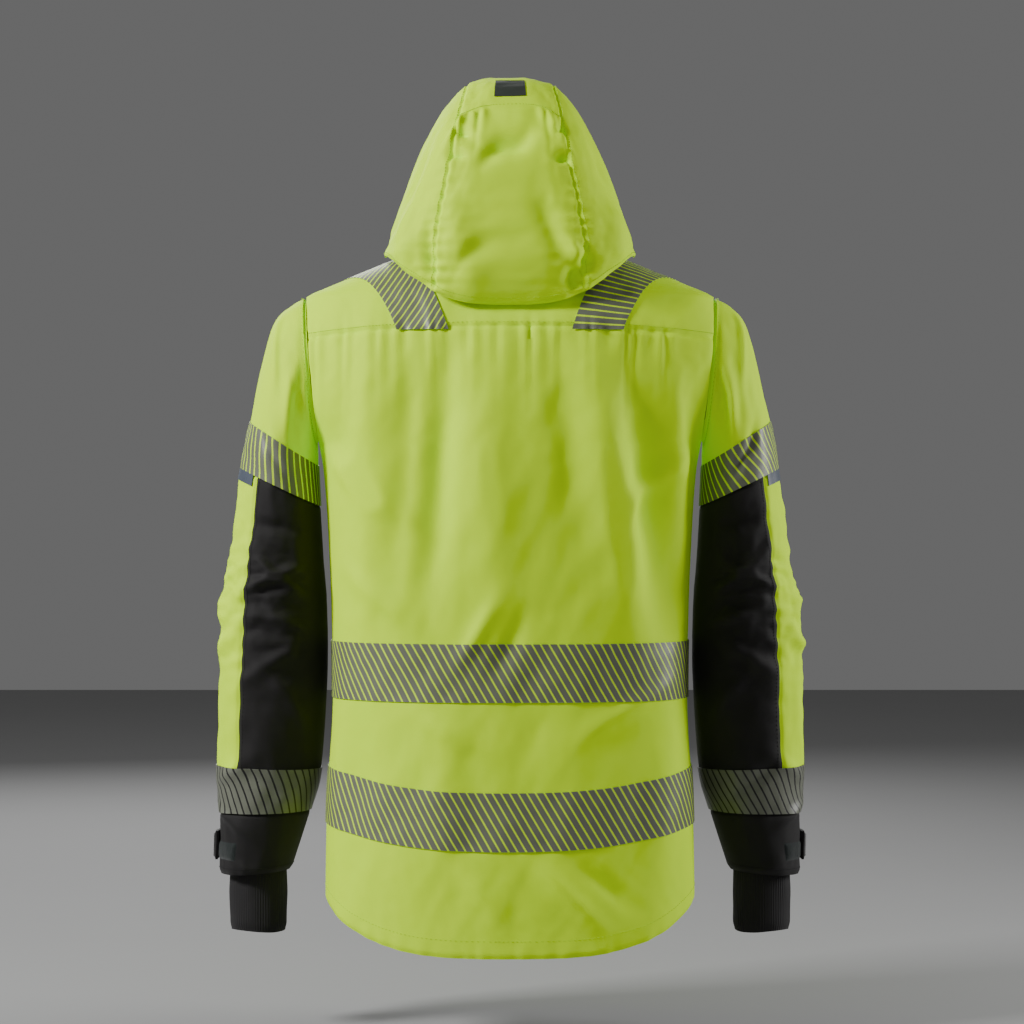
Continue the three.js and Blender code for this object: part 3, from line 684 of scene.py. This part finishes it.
def cloth(name, point, across, up, material, out=0.0, thickness=CLOTH_THICKNESS, ring=False, roll=True):
    """A sheet of cloth over a surface, with a UV map in metres and its thickness inwards."""
    columns = even_steps(point, spread(across, 0.0 if ring else 0.6))
    rows = spread(up, 0.6)
    wide = sum((point(columns[i + 1], 0.5) - point(columns[i], 0.5)).length for i in range(across))
    tall = sum((point(0.5, rows[i + 1]) - point(0.5, rows[i])).length for i in range(up))
    used = across if ring else across + 1
    points = []
    for t in rows:
        for s in columns[:used]:
            lower = edge_roll(s, t, wide, tall, ring) if roll else 0.0
            points.append(point(s, t, out + lower))
    faces = []
    for row in range(up):
        for column in range(across):
            a, b = row * used + column, row * used + (column + 1) % used
            faces.append((a, b, b + used, a + used))
    mesh = bpy.data.meshes.new(name)
    mesh.from_pydata(points, [], faces)
    layer = mesh.uv_layers.new(name="UVMap")
    across_cloth = run_along([point(s, 0.5) for s in columns])
    up_cloth = run_along([point(0.5, t) for t in rows])
    for face in mesh.polygons:
        row, column = divmod(face.index, across)
        corners = [(column, row), (column + 1, row), (column + 1, row + 1), (column, row + 1)]
        for loop, (i, j) in zip(face.loop_indices, corners):
            layer.data[loop].uv = (across_cloth[i], up_cloth[j])
    piece = bpy.data.objects.new(name, mesh)
    bpy.context.scene.collection.objects.link(piece)
    middle = mesh.polygons[len(mesh.polygons) // 2]
    i, j = divmod(middle.index, across)
    outward = point(columns[j], rows[i], 0.01) - point(columns[j], rows[i], 0.0)
    if middle.normal.dot(outward) < 0:
        mesh.flip_normals()
    bpy.ops.object.select_all(action="DESELECT")
    piece.select_set(True)
    bpy.context.view_layer.objects.active = piece
    solid = piece.modifiers.new("thickness", "SOLIDIFY")
    solid.thickness = thickness
    solid.offset = -1
    bpy.ops.object.modifier_apply(modifier=solid.name)
    bpy.ops.object.shade_smooth_by_angle(angle=math.radians(50))
    piece.data.materials.append(material)
    piece["cut"] = cut_size(point, columns, rows, out)
    return piece


def even_steps(point, shares):
    """The given shares of the length of a surface's middle row, as values of s."""
    samples = 400
    lengths = run_along([point(i / samples, 0.5) for i in range(samples + 1)])
    steps, i = [], 0
    for share in shares:
        while i < samples - 1 and lengths[i + 1] < share * lengths[-1]:
            i += 1
        inside = (share * lengths[-1] - lengths[i]) / (lengths[i + 1] - lengths[i])
        steps.append((i + inside) / samples)
    steps[0], steps[-1] = 0.0, 1.0
    return steps


def run_along(points):
    """The distance from the first point to each point of a line."""
    distances = [0.0]
    for first, second in zip(points, points[1:]):
        distances.append(distances[-1] + (second - first).length)
    return distances


def cut_size(point, columns, rows, out):
    """Longest lines across and up a pattern piece, and its area, before any fold, gather or rolled edge."""
    CUTTING["flat"] = True
    grid = [[point(s, t, out) for s in columns] for t in rows]
    CUTTING["flat"] = False
    area = 0.0
    for low, high in zip(grid, grid[1:]):
        for i in range(len(columns) - 1):
            area += (low[i + 1] - low[i]).cross(high[i] - low[i]).length / 2
            area += (low[i + 1] - high[i + 1]).cross(high[i] - high[i + 1]).length / 2
    wide = max(run_along(row)[-1] for row in grid)
    tall = max(run_along(column)[-1] for column in zip(*grid))
    return wide, tall, area


def stitch_row(name, path, material, body_of, pitch=4.2 * MM, width=0.9 * MM):
    """A row of topstitching: short raised stitches along a path of (point, outward) pairs."""
    mesh = bmesh.new()
    for i in range(len(path) - 1):
        (start, out), (end, _) = path[i], path[i + 1]
        way = (end - start)
        if way.length < 1e-6:
            continue
        count = max(1, int(way.length / pitch))
        direction = way.normalized()
        side = direction.cross(out).normalized()
        for k in range(count):
            centre = start + way * ((k + 0.5) / count) + out * 0.25 * MM
            half = direction * pitch * 0.36
            ring = [centre - half, centre + side * width / 2, centre + half, centre - side * width / 2]
            low = [mesh.verts.new(p - out * 0.4 * MM) for p in ring]
            top = mesh.verts.new(centre + out * 0.45 * MM)
            mesh.faces.new(list(reversed(low)))
            for a, b in ((0, 1), (1, 2), (2, 3), (3, 0)):
                mesh.faces.new((low[a], low[b], top))
    bmesh.ops.recalc_face_normals(mesh, faces=mesh.faces)
    data = bpy.data.meshes.new(name)
    mesh.to_mesh(data)
    mesh.free()
    piece = bpy.data.objects.new(name, data)
    bpy.context.scene.collection.objects.link(piece)
    data.materials.append(material)
    body_of(piece)


def seam_path(point, start, end, steps, out=0.2 * MM):
    """Points along a line in (s, t) on a surface, each with the way out of the cloth."""
    path = []
    for i in range(steps + 1):
        s, t = mix(start[0], end[0], i / steps), mix(start[1], end[1], i / steps)
        here = point(s, t, out)
        path.append((here, (point(s, t, out + MM) - here).normalized()))
    return path


def rides(body):
    return lambda piece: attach(piece, body)


def elbow_blend(side):
    def settle(piece):
        x = side * ELBOW_X
        placed(x, ELBOW_Y, ELBOW_HEIGHT + ELBOW_REACH)
        placed(x, ELBOW_Y, ELBOW_HEIGHT - ELBOW_REACH)
        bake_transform(piece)
    return settle


def hood_blend(piece):
    """Bakes the piece's place into its mesh; it also works out the crown's points at the hood's low edge at
    the back and at its brim, and uses neither.
    """
    hood_point(HALF_TURN / 2, HOOD_LOW_LEAN, wrinkled=False)
    hood_point(HALF_TURN / 2, BRIM_LEAN, wrinkled=False)
    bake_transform(piece)


def finish(piece, settle, slot, *nodes, sheet=True):
    """Puts a piece on its body and hides the CAD nodes that it stands for; the finish given as slot is not
    used.
    """
    settle(piece)
    if nodes:
        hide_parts(*nodes)


# ---- Camera and light ----

def look_from(place, target, lens):
    data = bpy.data.cameras.new("camera")
    data.lens = lens
    camera = bpy.data.objects.new("camera", data)
    bpy.context.scene.collection.objects.link(camera)
    camera.location = place
    camera.rotation_euler = (target - place).to_track_quat("-Z", "Y").to_euler()
    bpy.context.scene.camera = camera


def soft_light(name, place, target, size, power):
    data = bpy.data.lights.new(name, "AREA")
    data.size = size
    data.energy = power
    lamp = bpy.data.objects.new(name, data)
    bpy.context.scene.collection.objects.link(lamp)
    lamp.location = place
    lamp.rotation_euler = (target - place).to_track_quat("-Z", "Y").to_euler()


def make_studio():
    look_from(placed(CAMERA_X, CAMERA_DISTANCE, CAMERA_HEIGHT), placed(CAMERA_X, 0, CAMERA_HEIGHT), LENS)
    middle = placed(0, 0, 0.55)
    for name, place, size, power in LAMPS:
        soft_light(name, Vector(place), middle, size, power)
    bpy.ops.object.select_all(action="DESELECT")
    bpy.ops.mesh.primitive_plane_add(size=14, location=(0, 0, -NECK_HEIGHT - FLOOR_GAP))
    floor = bpy.context.object
    floor.name = "studio_floor"
    material, tree, shader = new_material("studio_paper", 0.9)
    tree.links.new(mottled(tree, "#8E8E8E", "#949494", 1.0), shader.inputs["Base Color"])
    floor.data.materials.append(material)
    world = bpy.data.worlds.new("studio")
    bpy.context.scene.world = world
    world.use_nodes = True
    world.node_tree.nodes["Background"].inputs[0].default_value = linear("#9C9C9C")
    world.node_tree.nodes["Background"].inputs[1].default_value = WORLD_STRENGTH


# ---- The jacket ----

def back_left(height):
    return side_angle(height, True)


def back_right(height):
    return HALF_TURN - side_angle(height, True)


def front_side(height):
    return -side_angle(height, False)


def front_edge(height):
    return -zip_angle(height, ZIP_HALF_WIDTH)


def on_side(angle_at_height, side):
    """The same angle on the wearer's left (1) or right (-1)."""
    if side > 0:
        return angle_at_height
    return lambda height: -HALF_TURN - angle_at_height(height)


def make_body():
    torso = rides("torso")
    back = body_panel(back_left, back_right, hem_height, yoke_height)
    finish(cloth("back_panel_cloth", back, 170, 150, YELLOW), torso, "yellow_fabric", "back_panel")
    yoke = body_panel(back_left, back_right, yoke_height, neck_height)
    finish(cloth("back_yoke_cloth", yoke, 150, 36, YELLOW), torso, "yellow_fabric", "back_yoke")
    stitch_row("back_yoke_stitching", seam_path(yoke, (0.01, 0.05), (0.99, 0.05), 120), YELLOW_THREAD, torso)
    stitch_row("back_hem_stitching", seam_path(back, (0.005, 0.028), (0.995, 0.028), 120), YELLOW_THREAD,
               torso)
    for side, name in SIDES:
        limits = on_side(front_side, side), on_side(front_edge, side)
        panel = body_panel(*limits, hem_height, lambda angle: FRONT_YOKE_SEAM)
        upper = body_panel(*limits, lambda angle: FRONT_YOKE_SEAM, neck_height)
        finish(cloth(f"front_panel_{name}_cloth", panel, 80, 130, YELLOW), torso, "yellow_fabric",
               f"front_panel_{name}")
        finish(cloth(f"front_yoke_{name}_cloth", upper, 80, 30, YELLOW), torso, "yellow_fabric",
               f"front_yoke_{name}")
        stitch_row(f"front_yoke_{name}_stitching", seam_path(upper, (0.02, 0.06), (0.98, 0.06), 60),
                   YELLOW_THREAD, torso)
        stitch_row(f"front_edge_{name}_stitching", seam_path(panel, (0.965, 0.01), (0.965, 0.99), 90),
                   YELLOW_THREAD, torso)


def open_ring(low, high):
    def point(s, t, out=0.0):
        height = mix(low(0), high(0), t)
        edge = zip_angle(height, ZIP_HALF_WIDTH)
        angle = mix(-edge, edge + HALF_TURN, s)
        return body_point(angle, mix(low(angle), high(angle), t), out)
    return point


def make_bands():
    def hem_low(angle):
        return HEM_BAND_LOW + HEM_BAND_RISE * math.cos(angle) ** 2
    torso = rides("torso")
    film = 0.8 * MM
    waist = open_ring(lambda a: WAIST_BAND_LOW, lambda a: WAIST_BAND_LOW + BAND_HEIGHT)
    hem = open_ring(hem_low, lambda a: hem_low(a) + BAND_HEIGHT)
    for name, ring in (("waist_band", waist), ("hem_band", hem)):
        band = cloth(f"{name}_tape", ring, 320, 14, TAPE_BODY, out=1.7 * MM, thickness=film, roll=False)
        finish(band, torso, "reflective_tape", name)


def make_collar():
    ring = open_ring(neck_height, lambda angle: neck_height(angle) + COLLAR_RISE)
    finish(cloth("collar_cloth", ring, 130, 22, YELLOW, out=-1 * MM, thickness=4 * MM), rides("torso"),
           "yellow_fabric", "collar")

    def inside(s, t, out=0.0):
        return body_point(s * 2 * HALF_TURN - HALF_TURN / 2, mix(LINING_LOW, LINING_HIGH, t), out, False)
    lining = cloth("body_lining_cloth", inside, 110, 60, LINING, out=-21 * MM, thickness=1.5 * MM, ring=True,
                   roll=False)
    finish(lining, rides("torso"), "lining_fabric", "body_lining")


def shoulder_top(x):
    (low, wide), (high, narrow) = SHOULDER[:2]
    return mix(low, high, (wide - x) / (wide - narrow))


def make_shoulder_tapes():
    for side, name in SIDES:
        def tape(s, t, out=0.0):
            is_back = t < 0.5
            share = abs(t - 0.5) * 2
            low_x = SHOULDER_TAPE_BACK_X if is_back else SHOULDER_TAPE_FRONT_X
            width = mix(SHOULDER_TAPE_TOP_X, low_x, share) + s * SHOULDER_TAPE_WIDTH
            end = SHOULDER_TAPE_BACK_END if is_back else FRONT_YOKE_SEAM
            height = mix(shoulder_top(width) - SHOULDER_TAPE_GAP, end, share ** 2)
            return body_point(angle_at(side * width, height, is_back), height, out)
        band = cloth(f"shoulder_tape_{name}_film", tape, 40, 120, TAPES_SHOULDER[name], out=2.2 * MM,
                     thickness=0.8 * MM, roll=False)
        finish(band, rides("torso"), "reflective_tape", f"shoulder_tape_{name}")


def make_sleeve(side, name):
    upper, lower = rides(f"upper_sleeve_{name}"), rides(f"lower_sleeve_{name}")
    elbow = elbow_blend(side)
    at = lambda section: lambda angle: section
    whole = lambda low, high: sleeve_piece(side, 0, 2 * HALF_TURN, at(low), at(high))
    film = {"out": 1.5 * MM, "thickness": 0.8 * MM, "roll": False}

    cap = whole(BAND_BOTTOM, 0.0)
    finish(cloth(f"upper_sleeve_{name}_cloth", cap, 110, 60, YELLOW, ring=True), upper, "yellow_fabric",
           f"upper_sleeve_{name}")
    stitch_row(f"armhole_{name}_stitching", seam_path(cap, (0, 0.018), (1, 0.018), 110), YELLOW_THREAD, upper)
    finish(cloth(f"upper_band_{name}_tape", whole(BAND_BOTTOM, BAND_TOP), 110, 14, TAPES_ARM[name],
                 ring=True, **film), upper, "reflective_tape", f"upper_band_{name}")
    accent = sleeve_piece(side, math.radians(-60), math.radians(52), at(BAND_BOTTOM + ACCENT_LENGTH),
                          at(BAND_BOTTOM))
    finish(cloth(f"accent_strip_{name}_ribbon", accent, 60, 8, RIBBON, **film), upper, "slate_tape",
           f"accent_strip_{name}")

    outer = sleeve_piece(side, FRONT_SEAM, REAR_SEAM, at(LOW_BAND_BOTTOM), at(BAND_BOTTOM))
    under = sleeve_piece(side, REAR_SEAM, 2 * HALF_TURN + FRONT_SEAM, at(LOW_BAND_BOTTOM), at(BAND_BOTTOM))
    for kind, surface, material, colour in (("outer", outer, YELLOW, "yellow_fabric"),
                                            ("under", under, BLACK, "black_fabric")):
        panel = cloth(f"{kind}_sleeve_{name}_cloth", surface, 70, 150, material)
        finish(panel, elbow, colour, f"{kind}_panel_upper_{name}", f"{kind}_panel_lower_{name}")
    stitch_row(f"rear_sleeve_seam_{name}_stitching", seam_path(under, (0.03, 0.01), (0.03, 0.99), 110),
               BLACK_THREAD, elbow)

    finish(cloth(f"lower_band_{name}_tape", whole(LOW_BAND_BOTTOM, LOW_BAND_TOP), 110, 14, TAPES_DARK[name],
                 ring=True, **film), lower, "reflective_tape", f"lower_band_{name}")
    cuff = whole(CUFF_HEM, LOW_BAND_BOTTOM)
    finish(cloth(f"outer_cuff_{name}_cloth", cuff, 100, 34, BLACK, ring=True, thickness=3 * MM), lower,
           "black_fabric", f"outer_cuff_{name}")
    stitch_row(f"cuff_hem_{name}_stitching", seam_path(cuff, (0, 0.90), (1, 0.90), 90), BLACK_THREAD, lower)

    def storm(s, t, out=0.0):
        turn = s * 2 * HALF_TURN
        rib = 0.15 * MM * math.sin(turn * 64)
        slump = 1.2 * MM * noise.noise(Vector((math.cos(turn) * 2, math.sin(turn) * 2, t * 3 + side)))
        hem_round = -2.2 * MM * math.exp(-(t / 0.06) ** 2)
        reach = out if CUTTING["flat"] else out + rib + slump + hem_round
        return placed(side * (STORM_X + (STORM_HALF_WIDTH + reach) * math.cos(turn)),
                      STORM_Y + (STORM_HALF_DEPTH + reach) * math.sin(turn),
                      mix(STORM_LOW, STORM_HIGH, t) + 1.5 * MM * math.sin(turn * 2) * (1 - t))
    finish(cloth(f"storm_cuff_{name}_knit", storm, 256, 20, KNIT, ring=True, thickness=2.4 * MM, roll=False),
           lower, "rib_knit", f"storm_cuff_{name}")

    tab_low, tab_high = at(LOW_BAND_BOTTOM + TAB_BOTTOM), at(LOW_BAND_BOTTOM + TAB_TOP)
    tab = sleeve_piece(side, math.radians(-78), math.radians(8), tab_low, tab_high)
    finish(cloth(f"cuff_tab_{name}_strap", tab, 40, 18, BLACK, out=TAB_OUT, thickness=3 * MM),
           rides(f"cuff_tab_{name}"), "black_fabric", f"cuff_tab_{name}")
    edge = (seam_path(tab, (0.06, 0.12), (0.94, 0.12), 30, TAB_STITCH_OUT)
            + seam_path(tab, (0.94, 0.12), (0.94, 0.88), 12, TAB_STITCH_OUT)
            + seam_path(tab, (0.94, 0.88), (0.06, 0.88), 30, TAB_STITCH_OUT))
    stitch_row(f"cuff_tab_{name}_stitching", edge, BLACK_THREAD, rides(f"cuff_tab_{name}"))
    loops = sleeve_piece(side, math.radians(-20), math.radians(60), tab_low,
                         at(LOW_BAND_BOTTOM + LOOP_TOP))
    finish(cloth(f"cuff_loop_patch_{name}_tape", loops, 50, 20, LOOPS, out=1.8 * MM, thickness=1.6 * MM),
           lower, "loop_fabric", f"cuff_loop_patch_{name}")
    make_armhole_gusset(side, name)


def make_armhole_gusset(side, name):
    """Cloth inside the armhole seam, fixed in place; it does not open when the sleeve rises."""
    def ring(s, t, out=0.0):
        turn = s * 2 * HALF_TURN
        start = sleeve_point(turn, 0.0, out - GUSSET_INSET, side, wrinkled=False)
        # the cap falls away from the top of the armhole, so the gusset falls with it to stay hidden
        drop = GUSSET_DROP * t * max(0.0, math.cos(turn))
        return start + Vector((side * mix(GUSSET_START, GUSSET_END, t), 0, -drop))
    piece = cloth(f"armhole_gusset_{name}_cloth", ring, 90, 28, YELLOW, thickness=0.8 * MM, ring=True,
                  roll=False)
    middle = placed(side * ARMHOLE_MIDDLE_X, 0, ARMHOLE_MIDDLE_HEIGHT)
    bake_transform(piece)


def make_hood():
    def brim(sweep):
        return BRIM_LEAN
    parts = [("centre", CENTRE_SWEEP, 180 - CENTRE_SWEEP, 90, ("hood_centre_panel", "hood_brim")),
             ("left", FIRST_SWEEP, CENTRE_SWEEP, 60, ("hood_left_panel", "hood_front_left")),
             ("right", 180 - CENTRE_SWEEP, LAST_SWEEP, 60, ("hood_right_panel", "hood_front_right"))]
    for name, start, end, across, nodes in parts:
        surface = hood_piece(start, end, hood_low_lean, brim)
        finish(cloth(f"hood_{name}_cloth", surface, across, 130, YELLOW), hood_blend, "yellow_fabric", *nodes)
        if name == "centre":
            cross = hood_piece(start, end, lambda sweep: hood_cross_lean(sweep) + 1.1, brim)
            stitch_row("hood_cross_stitching", seam_path(cross, (0.01, 0), (0.99, 0), 50), YELLOW_THREAD,
                       hood_blend)
        else:
            near = 0.97 if name == "left" else 0.03
            stitch_row(f"hood_{name}_stitching", seam_path(surface, (near, 0.01), (near, 0.99), 130),
                       YELLOW_THREAD, hood_blend)
        edge = seam_path(surface, (0.01, 0.972), (0.99, 0.972), 40)
        hem = seam_path(surface, (0.01, 0.02), (0.99, 0.02), 40)
        stitch_row(f"hood_{name}_edge_stitching", edge + hem, YELLOW_THREAD, hood_blend)
    inside = hood_piece(FIRST_SWEEP, LAST_SWEEP, lambda sweep: hood_low_lean(sweep) + 1,
                        lambda sweep: BRIM_LEAN - 1)
    lining = cloth("hood_lining_cloth", inside, 120, 80, LINING, out=-5 * MM, thickness=1 * MM, roll=False)
    finish(lining, hood_blend, "lining_fabric")
    patch = hood_piece(*PATCH_SWEEPS, lambda sweep: PATCH_LEANS[0], lambda sweep: PATCH_LEANS[1])
    finish(cloth("hood_patch_film", patch, 30, 16, PATCH_FILM, out=1.0 * MM, thickness=0.6 * MM, roll=False),
           hood_blend, "reflective_tape", "hood_patch")


def front_patch(inner, outer, low, high):
    def point(s, t, out=0.0):
        height = mix(low, high, t)
        return body_point(angle_at(mix(inner, outer, s), height, False), height, out, False)
    return point


def make_pockets():
    for side, name in SIDES:
        welt = sided(front_patch(*WELT), side)
        finish(cloth(f"pocket_welt_{name}_cloth", welt, 40, 10, BLACK, out=3.6 * MM, thickness=3 * MM),
               rides("torso"), "black_fabric", f"pocket_welt_{name}")
        flap = sided(front_patch(*FLAP), side)
        finish(cloth(f"pocket_flap_{name}_cloth", flap, 50, 26, YELLOW, out=7.0 * MM, thickness=2 * MM),
               rides(f"pocket_flap_{name}"), "yellow_fabric", f"pocket_flap_{name}")
        edge = (seam_path(flap, (0.05, 0.97), (0.05, 0.09), 20, FLAP_STITCH_OUT)
                + seam_path(flap, (0.05, 0.09), (0.95, 0.09), 30, FLAP_STITCH_OUT)
                + seam_path(flap, (0.95, 0.09), (0.95, 0.97), 20, FLAP_STITCH_OUT))
        stitch_row(f"pocket_flap_{name}_stitching", edge, YELLOW_THREAD, rides(f"pocket_flap_{name}"))


def make_zip():
    """Two rows of moulded teeth on woven tapes; the slider and its pull come from make_zip_slider."""
    for name, side in (("left", 1), ("right", -1)):
        low, high = [Vector(corner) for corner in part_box(f"zip_tape_{name}")]
        length = high.z - low.z
        mesh = bmesh.new()
        for i in range(int(length / TOOTH_PITCH)):
            height = low.z + NECK_HEIGHT + (i + 0.5 + 0.25 * side) * TOOTH_PITCH * 0.998
            y = -front_depth(height) - 1.1 * MM
            centre = placed(side * 1.3 * MM, y, height)
            made = bmesh.ops.create_cube(mesh, size=1.0)["verts"]
            for vertex in made:
                vertex.co = vertex.co * TOOTH_SIZE + centre
        data = bpy.data.meshes.new(f"zip_teeth_{name}")
        mesh.to_mesh(data)
        mesh.free()
        teeth = bpy.data.objects.new(f"zip_teeth_{name}", data)
        bpy.context.scene.collection.objects.link(teeth)
        data.materials.append(NYLON)
        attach(teeth, "torso")
        strip = lambda s, t, out=0.0: placed(side * mix(0.0004, 0.0095, s),
                                             -front_depth(mix(low.z, high.z, t) + NECK_HEIGHT) - out,
                                             mix(low.z, high.z, t) + NECK_HEIGHT)
        tape = cloth(f"zip_tape_{name}_cloth", strip, 6, 120, BLACK, thickness=0.8 * MM, roll=False)
        finish(tape, rides("torso"), "nylon", f"zip_tape_{name}", sheet=False)


def bevelled_box(name, cad_node, size, bevel, material):
    """A block with rounded edges at a CAD node's place, leaning back with the front of the jacket."""
    low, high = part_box(cad_node)
    bpy.ops.object.select_all(action="DESELECT")
    lean = -math.atan(FRONT_SLOPE)
    bpy.ops.mesh.primitive_cube_add(size=1, location=(low + high) / 2, rotation=(lean, 0, 0), scale=size)
    block = bpy.context.object
    block.name = name
    bpy.ops.object.transform_apply(location=True, rotation=True, scale=True)
    rounding = block.modifiers.new("rounding", "BEVEL")
    rounding.width = bevel
    rounding.segments = 3
    bpy.ops.object.modifier_apply(modifier=rounding.name)
    bpy.ops.object.shade_smooth_by_angle(angle=math.radians(40))
    block.data.materials.append(material)
    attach(block, cad_node)
    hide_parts(cad_node)


def make_zip_slider():
    bevelled_box("zip_slider_body", "zip_slider", (9 * MM, 3.4 * MM, 14 * MM), 1.0 * MM, NYLON)
    bevelled_box("zip_pull_grip", "zip_pull", (8 * MM, 2 * MM, 42 * MM), 0.7 * MM, NYLON)


def dress_cad_nodes():
    """CAD nodes whose shape is right keep it and take a finish."""
    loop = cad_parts["hang_loop"]
    for holder in loop.material_slots:
        holder.material = BLACK_WEBBING


make_studio()
make_body()
make_bands()
make_collar()
make_shoulder_tapes()
make_sleeve(1, "left")
make_sleeve(-1, "right")
make_hood()
make_pockets()
make_zip()
make_zip_slider()
dress_cad_nodes()
